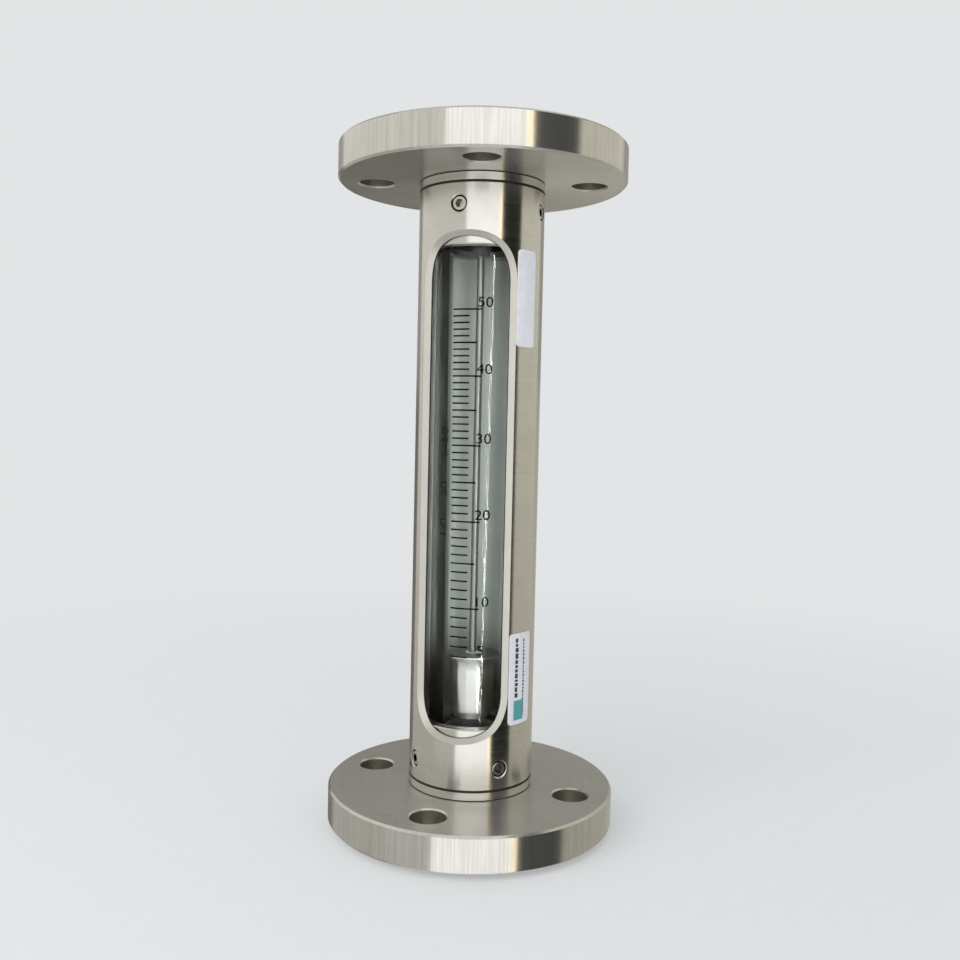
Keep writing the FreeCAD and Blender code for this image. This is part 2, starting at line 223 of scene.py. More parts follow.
def sheet(name, grids, closed=True):
    """Object from grids of points given as (points, wrap), with shared edges merged.

    A closed shape gets its faces turned outwards.  An open one keeps them as given.
    """
    points, faces, count = [], [], 0
    for grid, wrap in grids:
        faces.append(grid_faces(grid.shape[0], grid.shape[1], wrap, count))
        points.append(grid.reshape(-1, 3))
        count += len(points[-1])
    mesh = bpy.data.meshes.new(name)
    mesh.from_pydata(np.concatenate(points), [], np.concatenate(faces))
    work = bmesh.new()
    work.from_mesh(mesh)
    bmesh.ops.remove_doubles(work, verts=work.verts, dist=0.002 * MM)
    if closed:
        bmesh.ops.recalc_face_normals(work, faces=work.faces)
    work.to_mesh(mesh)
    work.free()
    smooth(mesh)
    return make_object(name, mesh)


def turned(name, outline, count=256):
    """Solid of revolution about the axis: each outline point becomes a full circle."""
    outline = np.array(outline)
    if outline[0][0] > 0:
        outline = np.vstack([outline, outline[:1]])
    turn = np.linspace(0, 2 * np.pi, count, endpoint=False)
    grid = around(outline[:, :1], turn[None, :], outline[:, 1:])
    return sheet(name, [(grid, True)])


def carve(piece, cutters):
    """Cut other objects out of a piece, apply the result and delete the cutters."""
    for cutter in cutters:
        modifier = piece.modifiers.new("cut", "BOOLEAN")
        modifier.operation = "DIFFERENCE"
        modifier.solver = "EXACT"
        modifier.object = cutter
    graph = bpy.context.evaluated_depsgraph_get()
    cut = bpy.data.meshes.new_from_object(piece.evaluated_get(graph))
    if len(cut.polygons) == 0:
        raise RuntimeError(f"{piece.name} vanished when it was cut")
    piece.modifiers.clear()
    piece.data = cut
    smooth(cut)
    for cutter in cutters:
        bpy.data.objects.remove(cutter)


def mirrored(outline, total):
    """Outline of (radius, height) points, mirrored about the middle height."""
    return [(r, total - z) for r, z in outline]


def arc_points(start, end, sagitta, count):
    """Points of a circular arc from start to end, bulging right of the chord by sagitta.

    The arc's centre lies on the chord's bisector, at radius c^2/8s + s/2.
    """
    start, end = np.array(start), np.array(end)
    chord = end - start
    size = np.hypot(*chord)
    right = np.array([chord[1], -chord[0]]) / size
    radius = size * size / (8 * sagitta) + sagitta / 2
    centre = (start + end) / 2 + right * (sagitta - radius)
    first, last = start - centre, end - centre
    sweep = np.arctan2(first[0] * last[1] - first[1] * last[0], first @ last)
    t = np.linspace(0, sweep, count)
    x = first[0] * np.cos(t) - first[1] * np.sin(t)
    z = first[0] * np.sin(t) + first[1] * np.cos(t)
    return [tuple(p) for p in np.stack([x, z], axis=-1) + centre]


# ---------------------------------------------------------------- material code

def add(tree, kind, inputs=None, **settings):
    """Add a shader node, give it its settings, and set or link its inputs."""
    new = tree.nodes.new("ShaderNode" + kind)
    for name, value in settings.items():
        setattr(new, name, value)
    for name, value in (inputs or {}).items():
        if isinstance(value, bpy.types.NodeSocket):
            tree.links.new(value, new.inputs[name])
        else:
            new.inputs[name].default_value = value
    return new


def new_material(name):
    """Empty node material and its tree."""
    material = bpy.data.materials.new(name)
    material.use_nodes = True
    material.node_tree.nodes.clear()
    return material, material.node_tree


def axis_distance(tree):
    """Distance from the meter's axis, and the coordinates it comes from."""
    coords = add(tree, "TexCoord").outputs["Object"]
    flat = add(tree, "VectorMath", {0: coords, 1: (1, 1, 0)}, operation="MULTIPLY")
    distance = add(tree, "VectorMath", {0: flat.outputs["Vector"]}, operation="LENGTH")
    return distance.outputs["Value"], coords


def full_noise(tree, vector, detail, roughness=0.5, scale=1.0):
    """Noise on a vector, stretched so that it fills 0 to 1."""
    noise = add(tree, "TexNoise", {"Vector": vector, "Scale": scale, "Detail": detail,
                                   "Roughness": roughness}).outputs["Fac"]
    return add(tree, "MapRange", {"Value": noise, "From Min": 0.3,
                                  "From Max": 0.7}).outputs["Result"]


def lathe_rings(tree, spacing):
    """Noise from 0 to 1, drawn out round the axis, as a lathe tool leaves it.

    Its third coordinate is radius plus height over the rings' spacing, so that they
    show on flat faces as well as on cylinders.  Round the axis they last 33 mm.
    """
    distance, coords = axis_distance(tree)
    axes = add(tree, "SeparateXYZ", {"Vector": coords}).outputs
    level = add(tree, "Math", {0: distance, 1: axes["Z"]}, operation="ADD").outputs[0]
    spot = add(tree, "CombineXYZ", {"X": axes["X"], "Y": axes["Y"], "Z": level}).outputs[0]
    changes_a_metre = (30.0, 30.0, 1 / spacing)
    drawn_out = add(tree, "VectorMath", {0: spot, 1: changes_a_metre},
                    operation="MULTIPLY").outputs["Vector"]
    return full_noise(tree, drawn_out, detail=3.0, roughness=0.6)


def mottle(tree, size):
    """Soft cloudy noise from 0 to 1, of a given size."""
    coords = add(tree, "TexCoord").outputs["Object"]
    return full_noise(tree, coords, detail=4.0, roughness=0.55, scale=1 / size)


def shaded(tree, base, *patterns):
    """Base colour made lighter and darker by patterns of 0 to 1.

    Each pattern comes with the factors that its 0 and its 1 stand for.
    """
    shade = base if isinstance(base, bpy.types.NodeSocket) else base[:3]
    for pattern, low, high in patterns:
        factor = add(tree, "MapRange", {"Value": pattern, "To Min": low,
                                        "To Max": high}).outputs["Result"]
        shade = add(tree, "VectorMath", {0: shade, "Scale": factor},
                    operation="SCALE").outputs["Vector"]
    return shade


def turned_steel(name, base, roughness, spacing, marks=0.01, anisotropy=0.85):
    """Stainless steel turned on a lathe, whose rings show as strongly as marks says.

    The tool's rings spread light along the axis and keep it sharp round the axis, so a
    tube shows upright bands with crisp sides, and a flat face shows a bow-tie sheen.
    Their bump is 0.4 marks mm deep, and they change colour and roughness by 3.5 marks.
    """
    material, tree = new_material(name)
    rings = lathe_rings(tree, spacing)
    clouds = mottle(tree, 9 * MM)
    change = 3.5 * marks
    bump = add(tree, "Bump", {"Strength": 0.2, "Distance": 0.4 * marks * MM,
                              "Height": rings}).outputs["Normal"]
    rough = add(tree, "MapRange", {"Value": rings, "To Min": roughness - change,
                                   "To Max": roughness + change}).outputs["Result"]
    shader = add(tree, "BsdfPrincipled", {
        "Base Color": shaded(tree, base, (rings, 1 - change, 1 + change),
                             (clouds, 0.96, 1.03)),
        "Metallic": 1.0, "Roughness": rough,
        "Anisotropic": anisotropy, "Anisotropic Rotation": 0.25,
        "Tangent": add(tree, "Tangent", direction_type="RADIAL", axis="Z").outputs[0],
        "Normal": bump})
    add(tree, "OutputMaterial", {"Surface": shader.outputs["BSDF"]})
    return material


def flange_steel(name, base, rim_radius):
    """Stainless plate, faced on a lathe, with upright chatter marks round its rim.

    The rim's marks, 0.7 mm apart and 25 mm tall, catch the light as bright strokes, and
    its faces stay duller, with faint rings.  The rim lies outside the given radius.
    """
    material, tree = new_material(name)
    rings = lathe_rings(tree, 1.6 * MM)
    clouds = mottle(tree, 14 * MM)
    distance, coords = axis_distance(tree)
    rim = add(tree, "Math", {0: distance, 1: rim_radius}, operation="GREATER_THAN").outputs[0]
    strokes_a_metre = (1500, 1500, 40)
    drawn_up = add(tree, "VectorMath", {0: coords, 1: strokes_a_metre},
                   operation="MULTIPLY").outputs["Vector"]
    strokes = full_noise(tree, drawn_up, detail=2.0)
    marks = add(tree, "Mix", {"Factor": rim, "A": rings, "B": strokes}).outputs["Result"]
    darkest = add(tree, "Mix", {"Factor": rim, "A": 0.95, "B": 0.88}).outputs["Result"]
    lightest = add(tree, "Mix", {"Factor": rim, "A": 1.03, "B": 1.06}).outputs["Result"]
    dull = add(tree, "MapRange", {"Value": clouds, "To Min": 0.27,
                                  "To Max": 0.31}).outputs["Result"]
    rough = add(tree, "Mix", {"Factor": rim, "A": dull, "B": 0.2}).outputs["Result"]
    bump = add(tree, "Bump", {"Strength": 0.2, "Distance": 0.01 * MM,
                              "Height": marks}).outputs["Normal"]
    shader = add(tree, "BsdfPrincipled", {
        "Base Color": shaded(tree, base, (marks, darkest, lightest), (clouds, 0.95, 1.03)),
        "Metallic": 0.92, "Roughness": rough, "Anisotropic": 0.85,
        "Anisotropic Rotation": 0.25,
        "Tangent": add(tree, "Tangent", direction_type="RADIAL", axis="Z").outputs[0],
        "Normal": bump})
    add(tree, "OutputMaterial", {"Surface": shader.outputs["BSDF"]})
    return material


def bored_steel(name, base, oil):
    """Bore of the housing: rough drawn steel, which scatters light and mirrors nothing.

    Painted shade darkens it round its lower end, over the height of the float at rest, beside
    the window on the left, and a little over its right half.
    """
    material, tree = new_material(name)
    coords = add(tree, "TexCoord").outputs["Object"]
    axes = add(tree, "SeparateXYZ", {"Vector": coords}).outputs
    # Painted shade: darker below 52 to 80 mm, where the float shades the bore, and at the far
    # left edge.
    above_float = add(tree, "MapRange", {"Value": axes["Z"], "From Min": 52 * MM,
                                         "From Max": 80 * MM}).outputs["Result"]
    off_edge = add(tree, "MapRange", {"Value": axes["X"], "From Min": -21.4 * MM,
                                      "From Max": -20.6 * MM,
                                      "To Min": 0.35}).outputs["Result"]
    unshaded = add(tree, "Math", {0: above_float, 1: off_edge},
                operation="MULTIPLY").outputs[0]
    steel = add(tree, "Mix", {0: unshaded, 6: oil, 7: base}, data_type="RGBA").outputs[2]
    # Painted shade: darker on the left beside the window and over the right half.
    left = add(tree, "MapRange", {"Value": axes["X"], "From Min": -21.6 * MM,
                                  "From Max": -14 * MM}).outputs["Result"]
    right = add(tree, "MapRange", {"Value": axes["X"], "From Min": 0.0,
                                   "From Max": 8 * MM}).outputs["Result"]
    shader = add(tree, "BsdfPrincipled", {
        "Base Color": shaded(tree, steel, (left, 0.5, 1.0), (right, 1.0, 0.7),
                             (lathe_rings(tree, 0.9 * MM), 0.97, 1.02),
                             (mottle(tree, 12 * MM), 0.95, 1.04)),
        "Metallic": 0.2, "Roughness": 0.6})
    add(tree, "OutputMaterial", {"Surface": shader.outputs["BSDF"]})
    return material


def clear_glass(name, base, passed):
    """Drawn borosilicate tube: clear, faintly green, with a slightly wavy skin.

    Its mirror images are kept weak, so the scale behind them reads clearly, and are
    stronger only where light can't leave the glass.  Light on its way to a lamp goes
    straight through.
    """
    material, tree = new_material(name)
    coords = add(tree, "TexCoord").outputs["Object"]
    waves = add(tree, "TexNoise", {"Vector": coords, "Scale": 1 / (14 * MM), "Detail": 1.0})
    bump = add(tree, "Bump", {"Strength": 0.12, "Distance": 0.03 * MM,
                              "Height": waves.outputs["Fac"]}).outputs["Normal"]
    ior = 1.474
    clear = {"Color": base, "Roughness": 0.0, "IOR": ior, "Normal": bump}
    mirror = add(tree, "BsdfGlass", clear).outputs["BSDF"]
    bent = add(tree, "BsdfRefraction", clear).outputs["BSDF"]
    fresnel = add(tree, "Fresnel", {"IOR": ior}).outputs[0]
    share = add(tree, "MapRange", {"Value": fresnel, "From Min": 0.9, "From Max": 1.0,
                                   "To Min": 0.65, "To Max": 0.42}).outputs["Result"]
    weak = add(tree, "MixShader", {"Fac": share, 1: mirror, 2: bent}).outputs[0]
    through = add(tree, "BsdfTransparent", {"Color": passed}).outputs["BSDF"]
    path = add(tree, "LightPath").outputs
    glass = add(tree, "MixShader", {"Fac": path["Is Shadow Ray"], 1: weak, 2: through})
    add(tree, "OutputMaterial", {"Surface": glass.outputs[0]})
    return material


def fired_ink(name, base):
    """Ceramic ink fired onto the glass: deep, dull and slightly uneven in cover."""
    material, tree = new_material(name)
    shader = add(tree, "BsdfPrincipled", {
        "Base Color": shaded(tree, base, (mottle(tree, 0.8 * MM), 0.7, 1.5)),
        "Roughness": 0.8, "Specular IOR Level": 0.1})
    add(tree, "OutputMaterial", {"Surface": shader.outputs["BSDF"]})
    return material


def socket_screw_steel(name, base, depth):
    """Stainless set screw: bright turned end, with painted shade inside its hexagon socket.

    The painted shade darkens what lies nearer to the meter's axis than the given depth.
    """
    material, tree = new_material(name)
    speckle = mottle(tree, 0.5 * MM)
    distance = axis_distance(tree)[0]
    # Painted shade: the socket, nearer the axis than depth, keeps only 0.06 of the colour.
    outside = add(tree, "MapRange", {"Value": distance, "From Min": depth - 0.05 * MM,
                                     "From Max": depth}).outputs["Result"]
    rough = add(tree, "MapRange", {"Value": speckle, "To Min": 0.2,
                                   "To Max": 0.3}).outputs["Result"]
    shader = add(tree, "BsdfPrincipled", {
        "Base Color": shaded(tree, base, (speckle, 0.9, 1.05), (outside, 0.06, 1.0)),
        "Metallic": 1.0, "Roughness": rough})
    add(tree, "OutputMaterial", {"Surface": shader.outputs["BSDF"]})
    return material


def even_finish(name, base, roughness, grain, size, metallic=0.0):
    """Moulded, printed or dulled surface with a fine grain in its colour and its skin."""
    material, tree = new_material(name)
    speckle = mottle(tree, size)
    bump = add(tree, "Bump", {"Strength": grain, "Distance": 0.02 * MM,
                              "Height": speckle}).outputs["Normal"]
    rough = add(tree, "MapRange", {"Value": speckle, "To Min": roughness - 0.04,
                                   "To Max": roughness + 0.05}).outputs["Result"]
    shader = add(tree, "BsdfPrincipled", {
        "Base Color": shaded(tree, base, (speckle, 0.93, 1.05)),
        "Metallic": metallic, "Roughness": rough, "Normal": bump})
    add(tree, "OutputMaterial", {"Surface": shader.outputs["BSDF"]})
    return material


# ---------------------------------------------------------------- pieces

def place(piece, material, slot, body, *nodes):
    """Give a piece its material, let it ride on a body and stand for its nodes. The slot is not
    used.
    """
    piece.data.materials.clear()
    piece.data.materials.append(material)
    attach(piece, body)
    if nodes:
        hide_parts(*nodes)


def refinish(piece, material, chosen):
    """Give a second material to the faces that chosen picks.

    It gets the distance from the axis and the height of each face's centre, and the
    upward share of each face's normal.
    """
    polygons = piece.data.polygons
    centre, normal = np.empty((len(polygons), 3)), np.empty((len(polygons), 3))
    polygons.foreach_get("center", centre.ravel())
    polygons.foreach_get("normal", normal.ravel())
    index = np.empty(len(polygons), dtype=np.int32)
    polygons.foreach_get("material_index", index)
    picked = chosen(np.hypot(centre[:, 0], centre[:, 1]), centre[:, 2], normal[:, 2])
    index[picked] = len(piece.data.materials)
    piece.data.materials.append(material)
    polygons.foreach_set("material_index", index)


def dress(names, material):
    """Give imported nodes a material."""
    for name in names:
        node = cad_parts[name]
        if not node.material_slots:
            node.data.materials.append(material)
        for slot in node.material_slots:
            slot.material = material


def total_height():
    """Distance between the two sealing faces."""
    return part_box("upper_flange")[1][2]


def tube_span():
    """Radius, lower end and upper end of the housing tube."""
    low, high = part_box("housing_tube")
    return high[0], low[2], high[2]


def bolt_cutter(turn, bottom, top):
    """Bolt-hole cutter with a chamfer at both faces of the flange."""
    size = sizes()
    r, e, over = size.bolt_hole, size.bolt_edge, 0.1 * MM
    outline = [(0, bottom - over), (r + e + over, bottom - over), (r, bottom + e),
               (r, top - e), (r + e + over, top + over), (0, top + over)]
    cutter = turned("bolt_cutter", outline, 96)
    cutter.data.transform(Matrix.Translation(around(size.bolt_circle, turn, 0)))
    return cutter


class METER_OT_flanges(bpy.types.Operator):
    """Build both flanges: chamfered plates with a raised face and four bolt holes"""
    bl_idname = "meter.flanges"
    bl_label = "Flanges"

    def execute(self, context):
        size = sizes()
        total = total_height()
        rim, _side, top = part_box("lower_flange")[1]
        e = size.flange_edge
        outline = [
            (size.neck_bore, 0), (size.face_radius, 0),
            (size.face_radius, size.face_height), (rim - e, size.face_height),
            (rim, size.face_height + e), (rim, top - e), (rim - e, top),
            (size.neck_bore, top)]
        lower = turned("lower_flange_plate", outline, 320)
        upper = turned("upper_flange_plate", mirrored(outline, total), 320)
        carve(lower, [bolt_cutter(size.lower_bolts + q, size.face_height, top)
                      for q in QUARTERS])
        carve(upper, [bolt_cutter(size.upper_bolts + q, total - top,
                                  total - size.face_height) for q in QUARTERS])
        steel = flange_steel("faced_stainless_plate", colours().flange, rim - 0.6 * MM)
        place(lower, steel, "flange_steel", "housing", "lower_flange")
        place(upper, steel, "flange_steel", "housing", "upper_flange")
        drilled = even_finish("drilled_bolt_hole", colours().drilled, roughness=0.4, grain=0.3,
                              size=0.6 * MM, metallic=0.9)
        for piece in (lower, upper):
            refinish(piece, drilled, lambda distance, level, up: (np.abs(up) < 0.5) & (
                np.abs(distance - size.bolt_circle) < size.bolt_hole + 0.3 * MM))
        return {"FINISHED"}


class METER_OT_fittings(bpy.types.Operator):
    """Build both end fittings: neck, collar and the spigot inside the housing"""
    bl_idname = "meter.fittings"
    bl_label = "End Fittings"

    def execute(self, context):
        size = sizes()
        total = total_height()
        radius, low, _high = tube_span()
        flange_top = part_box("lower_flange")[1][2]
        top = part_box("lower_end_fitting")[1][2]
        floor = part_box("lower_glass_gasket")[0][2]
        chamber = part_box("lower_rod_spider")[1][0] + 0.1 * MM
        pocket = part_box("lower_glass_gasket")[1][0] + 0.05 * MM
        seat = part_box("lower_oring")[0][2] - 0.1 * MM
        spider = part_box("lower_rod_spider")[0][2]
        e = size.joint_edge
        outline = [
            (size.flow_bore, 0), (size.neck, 0), (size.neck, flange_top),
            (radius - e, flange_top), (radius, flange_top + e), (radius, low - e),
            (radius - e, low), (size.spigot, low), (size.spigot, top - e),
            (size.spigot - e, top), (size.seal_seat, top), (size.seal_seat, seat),
            (pocket, seat), (pocket, floor), (chamber, floor), (chamber, spider),
            (size.flow_bore, spider)]
        self.joint_lines(radius, flange_top, low)
        lower = turned("lower_collar_and_spigot", outline)
        upper = turned("upper_collar_and_spigot", mirrored(outline, total))
        steel = turned_steel("turned_stainless_fitting", colours().steel, roughness=0.26,
                             spacing=0.6 * MM)
        place(lower, steel, "fitting_steel", "housing", "lower_end_fitting")
        place(upper, steel, "fitting_steel", "housing", "upper_end_fitting")
        bored = turned_steel("bored_fitting_mouth", colours().steel, roughness=0.45,
                             spacing=0.6 * MM)
        for piece in (lower, upper):
            refinish(piece, bored,
                     lambda distance, level, up: distance < size.seal_seat + 0.1 * MM)
        return {"FINISHED"}

    def joint_lines(self, radius, flange_top, tube_end):
        """Thin dark rings that fill the joints, so that these show as shadow lines."""
        size = sizes()
        deep, proud = 1 * MM, 0.01 * MM
        shadow = even_finish("dark_joint_gap", colours().joint, roughness=0.6, grain=0.1,
                             size=1 * MM)
        for end in ENDS:
            for name, level, half in (("flange", flange_top, size.flange_line),
                                      ("tube", tube_end, size.tube_line)):
                ring = [(radius - deep, level - half), (radius + proud, level - half),
                        (radius + proud, level + half), (radius - deep, level + half)]
                if end == "upper":
                    ring = mirrored(ring, total_height())
                place(turned(f"{end}_{name}_joint_gap", ring), shadow, "seal_rubber",
                      "housing")


SIDE_POINTS = 150        # along one straight side of the window
END_POINTS = 190         # round one end of the window, and round the tube


def window_path(low, high):
    """Window outline as angles and heights: up the right side, over the top and back.

    On a rounded end the tangent of the angle and the height follow an ellipse:
    tan(angle) = tan(half) cos(t), height = level + end sin(t).
    """
    size = sizes()
    half = size.window_half
    t = np.linspace(0, np.pi, END_POINTS, endpoint=False)
    side = np.linspace(low, high, SIDE_POINTS, endpoint=False)
    end = np.arctan(math.tan(half) * np.cos(t))
    turn = np.concatenate([np.full(SIDE_POINTS, half), end,
                           np.full(SIDE_POINTS, -half), -end])
    height = np.concatenate([side, high + size.window_end * np.sin(t),
                             side[::-1] + (side[1] - side[0]),
                             low - size.window_end * np.sin(t)])
    return turn, height


def border_path(low, high):
    """Edge of the unrolled tube, sampled in step with window_path."""
    side = np.linspace(low, high, SIDE_POINTS, endpoint=False)
    end = np.linspace(np.pi, -np.pi, END_POINTS, endpoint=False)
    turn = np.concatenate([np.full(SIDE_POINTS, np.pi), end,
                           np.full(SIDE_POINTS, -np.pi), -end])
    height = np.concatenate([side, np.full(END_POINTS, high),
                             side[::-1] + (side[1] - side[0]), np.full(END_POINTS, low)])
    return turn, height


def offset_path(turn, height, radius, distance):
    """Path on a cylinder, moved outwards by a distance measured on its surface."""
    ds = radius * (np.roll(turn, -1) - np.roll(turn, 1))
    dz = np.roll(height, -1) - np.roll(height, 1)
    scale = distance / np.hypot(ds, dz)
    return turn + dz * scale / radius, height - ds * scale


def spread(inner, outer, radius, count):
    """Rows of points on a cylinder, from one path to another in even steps."""
    t = np.linspace(0, 1, count)[:, None]
    turn = inner[0] * (1 - t) + outer[0] * t
    height = inner[1] * (1 - t) + outer[1] * t
    return around(radius, turn, height)


def radial_cutter(turn, level, radius):
    """Set-screw hole cutter that points outwards, with a small countersink."""
    size = sizes()
    r, sink = size.screw_hole, size.screw_sink
    deep, over, step = 4 * MM, 1 * MM, 0.2 * MM
    outline = [(0, radius - deep), (r, radius - deep), (r, radius - sink - step),
               (r + sink + over, radius + over - step), (0, radius + over)]
    cutter = turned("screw_cutter", outline, 72)
    tilt = Matrix.Rotation(math.radians(90), 4, "X")
    turned_to = Matrix.Rotation(turn, 4, "Z")
    cutter.data.transform(Matrix.Translation((0, 0, level)) @ turned_to @ tilt)
    return cutter


class METER_OT_housing(bpy.types.Operator):
    """Build the housing tube with its bevelled front window and set-screw holes"""
    bl_idname = "meter.housing"
    bl_label = "Housing Tube"

    def execute(self, context):
        size = sizes()
        radius, low, high = tube_span()
        inner = radius - size.wall
        e = size.joint_edge
        gap = size.window_gap + size.window_end
        rows = 58        # from the window out to the tube's ends and back
        path = window_path(low + gap, high - gap)
        rim = offset_path(*path, radius, size.window_bevel)
        outside = spread(rim, border_path(low + e, high - e), radius, rows)
        inside = spread(path, border_path(low, high), inner, rows)
        wall = np.stack([around(inner, *path), around(radius - size.window_bevel, *path),
                         around(radius, *rim)])
        grids = [(outside, True), (inside, True), (wall, True)]
        turn = np.linspace(-np.pi, np.pi, END_POINTS, endpoint=False)[None, :]
        profile = np.array([(radius, e), (radius - e, 0), (inner, 0)])
        grids.append((around(profile[:, :1], turn, low + profile[:, 1:]), True))
        grids.append((around(profile[:, :1], -turn, high - profile[:, 1:]), True))
        tube = sheet("windowed_housing", grids)
        carve(tube, [radial_cutter(start + q, level, radius)
                     for start, level in ((size.lower_screws, low + size.screw_distance),
                                          (size.upper_screws, high - size.screw_distance))
                     for q in QUARTERS])
        steel = turned_steel("brushed_stainless_tube", colours().steel, roughness=0.22,
                             spacing=0.8 * MM)
        place(tube, steel, "housing_steel", "housing", "housing_tube")
        self.finish_faces(tube, radius, (low + high) / 2, (high - low) / 2 - size.window_gap)
        return {"FINISHED"}

    def finish_faces(self, tube, radius, middle, half):
        """Finishes of the bored wall, the window's cut and the window's bevel.

        The window's middle height and half height tell its cut from the tube's ends.
        """
        shade = colours()
        bore_end = radius - sizes().wall + 0.02 * MM
        bevel_start = radius - sizes().window_bevel - 0.02 * MM
        # The bored wall carries painted shade low down, beside the window and over its right
        # half.
        bored = bored_steel("bored_wall_with_painted_shade", shade.inside, shade.oil)
        refinish(tube, bored, lambda distance, level, up: distance < bore_end)
        cut = even_finish("shadowed_cut_edge", shade.cut, roughness=0.5, grain=0.1, size=1 * MM,
                          metallic=0.5)
        refinish(tube, cut, lambda distance, level, up: (
            (distance > bore_end) & (distance < bevel_start)
            & (np.abs(level - middle) < half + 1 * MM)))
        bevel = turned_steel("filed_window_bevel", shade.bevel, roughness=0.34, spacing=1.5 * MM,
                             marks=0.001, anisotropy=0.5)
        refinish(tube, bevel, lambda distance, level, up: (
            (distance > bevel_start) & (distance < radius - 0.3 * MM)
            & (np.abs(level - middle) < half + 3 * MM)))


class METER_OT_glass(bpy.types.Operator):
    """Build the glass metering tube, whose bore widens upwards"""
    bl_idname = "meter.glass"
    bl_label = "Glass Tube"

    def execute(self, context):
        size = sizes()
        low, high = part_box("glass_tube")
        r, bottom, top = high[0], low[2], high[2]
        e = size.glass_edge
        outline = [
            (size.bore_low + e, bottom), (r - e, bottom), (r, bottom + e), (r, top - e),
            (r - e, top), (size.bore_high + e, top), (size.bore_high, top - e),
            (size.bore_high, top - size.bore_straight),
            (size.bore_low, bottom + size.bore_straight), (size.bore_low, bottom + e)]
        tube = turned("metering_glass", outline, 384)
        glass = clear_glass("borosilicate_glass", colours().glass, colours().passed)
        place(tube, glass, "glass", "housing", "glass_tube")
        self.strip_light(tube)
        return {"FINISHED"}

    def strip_light(self, tube):
        """Light the glass alone from a leaning strip lamp, for its broken highlight."""
        strip = area_lamp("tube_strip_lamp", turn=46.7, distance=0.68, level=0.3, width=0.07,
                          height=1.5, radiance=60)
        strip.rotation_euler.y = math.radians(16)
        strip.data.use_nodes = True
        broken_light(strip.data.node_tree, cells=150)
        glass_only = bpy.data.collections.new("lit_by_tube_strip")
        glass_only.objects.link(tube)
        strip.light_linking.receiver_collection = glass_only


def scale_height(reading):
    """Height of a reading in metres: the marks close up as the bore widens upwards.

    A cubic in tens of the reading gives it in millimetres.
    """
    tens = reading / 10
    return (49.4 + 43.5 * tens - 3.77 * tens ** 2 + 0.266 * tens ** 3) * MM


def leaning(turn, level, lean):
    """Angle of a printed column at a height, where the turn is its angle 70 mm up.

    The print leans by so many degrees a millimetre.
    """
    return turn - math.radians(lean) * (level / MM - 70)


def patch(radius, left, right, bottom, top, columns=12):
    """Grid of points on a cylinder between two angles and two heights."""
    turn = np.linspace(left, right, columns)[None, :]
    return around(radius, turn, np.array([[bottom], [top]]))


def printed_text(name, body, height, turn, level, radius, upright=True):
    """Number printed on a cylinder: text cut into strips, then rolled on.

    Its flat x becomes arc length and its flat y becomes height, or the other way round
    where it reads upwards.  A digit is 0.7 of its font's size tall.
    """
    stretch, strip = (1.16, 1.0, 1.0), 0.4 * MM
    curve = bpy.data.curves.new(name, "FONT")
    curve.body = body
    curve.size = height / 0.70
    curve.resolution_u = 8
    holder = make_object(name, curve)
    graph = bpy.context.evaluated_depsgraph_get()
    mesh = bpy.data.meshes.new_from_object(holder.evaluated_get(graph))
    bpy.data.objects.remove(holder)
    work = bmesh.new()
    work.from_mesh(mesh)
    span = max(v.co.x for v in work.verts)
    reach = span if upright else height
    normal = (1, 0, 0) if upright else (0, 1, 0)
    for cut in np.arange(strip, reach, strip):
        everything = work.verts[:] + work.edges[:] + work.faces[:]
        bmesh.ops.bisect_plane(work, geom=everything, plane_no=normal,
                               plane_co=[cut * n for n in normal])
    work.to_mesh(mesh)
    work.free()
    flat = np.empty(len(mesh.vertices) * 3)
    mesh.vertices.foreach_get("co", flat)
    flat = flat.reshape(-1, 3) * stretch
    if upright:
        rolled = around(radius, turn + flat[:, 0] / radius, level + flat[:, 1])
    else:
        rolled = around(radius, turn - flat[:, 1] / radius, level + flat[:, 0])
    mesh.vertices.foreach_set("co", rolled.ravel())
    mesh.update()
    return make_object(name, mesh)


def joined(name, pieces):
    """One object from several, with the pieces removed."""
    work = bmesh.new()
    for piece in pieces:
        work.from_mesh(piece.data)
    mesh = bpy.data.meshes.new(name)
    work.to_mesh(mesh)
    work.free()
    for piece in pieces:
        bpy.data.objects.remove(piece)
    mesh.shade_smooth()
    return make_object(name, mesh)


class METER_OT_scale(bpy.types.Operator):
    """Print the scale on the glass: lines, plain numbers and side numbers"""
    bl_idname = "meter.scale"
    bl_label = "Printed Scale"

    def execute(self, context):
        size = sizes()
        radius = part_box("glass_tube")[1][0] + size.print_lift
        ink = fired_ink("fired_scale_ink", colours().ink)
        grids = []
        for reading in range(5, 51):
            level = scale_height(reading)
            left = leaning(size.tick_turn, level, lean=0.042)
            right = left + size.tick_span
            if reading % 10 == 0:
                right = leaning(size.ten_turn, level, lean=0.030)
            elif reading % 5 == 0 and reading > 5:
                right = left + size.five_span
            half = size.tick / 2
            grids.append((patch(radius, left, right, level - half, level + half), False))
        ticks = sheet("scale_lines", grids, closed=False)
        place(ticks, ink, "glass", "housing")
        numbers = []
        for reading in (5, 10, 20, 30, 40, 50):
            level = scale_height(reading)
            turn = leaning(size.number_turn, level, lean=0.022)
            if reading < 10:
                turn += size.single_shift
            numbers.append(printed_text(f"number_{reading}", str(reading), size.digit, turn,
                                        level + size.number_lift, radius))
        place(joined("scale_numbers", numbers), ink, "glass", "housing")
        sides = [printed_text("side", body, size.digit, size.side_turn, level * MM, radius,
                              upright=False)
                 for body, level in (("1.0", 116.5), ("20", 132.5), ("5-50", 148.5))]
        place(joined("side_numbers", sides), ink, "glass", "housing")
        return {"FINISHED"}


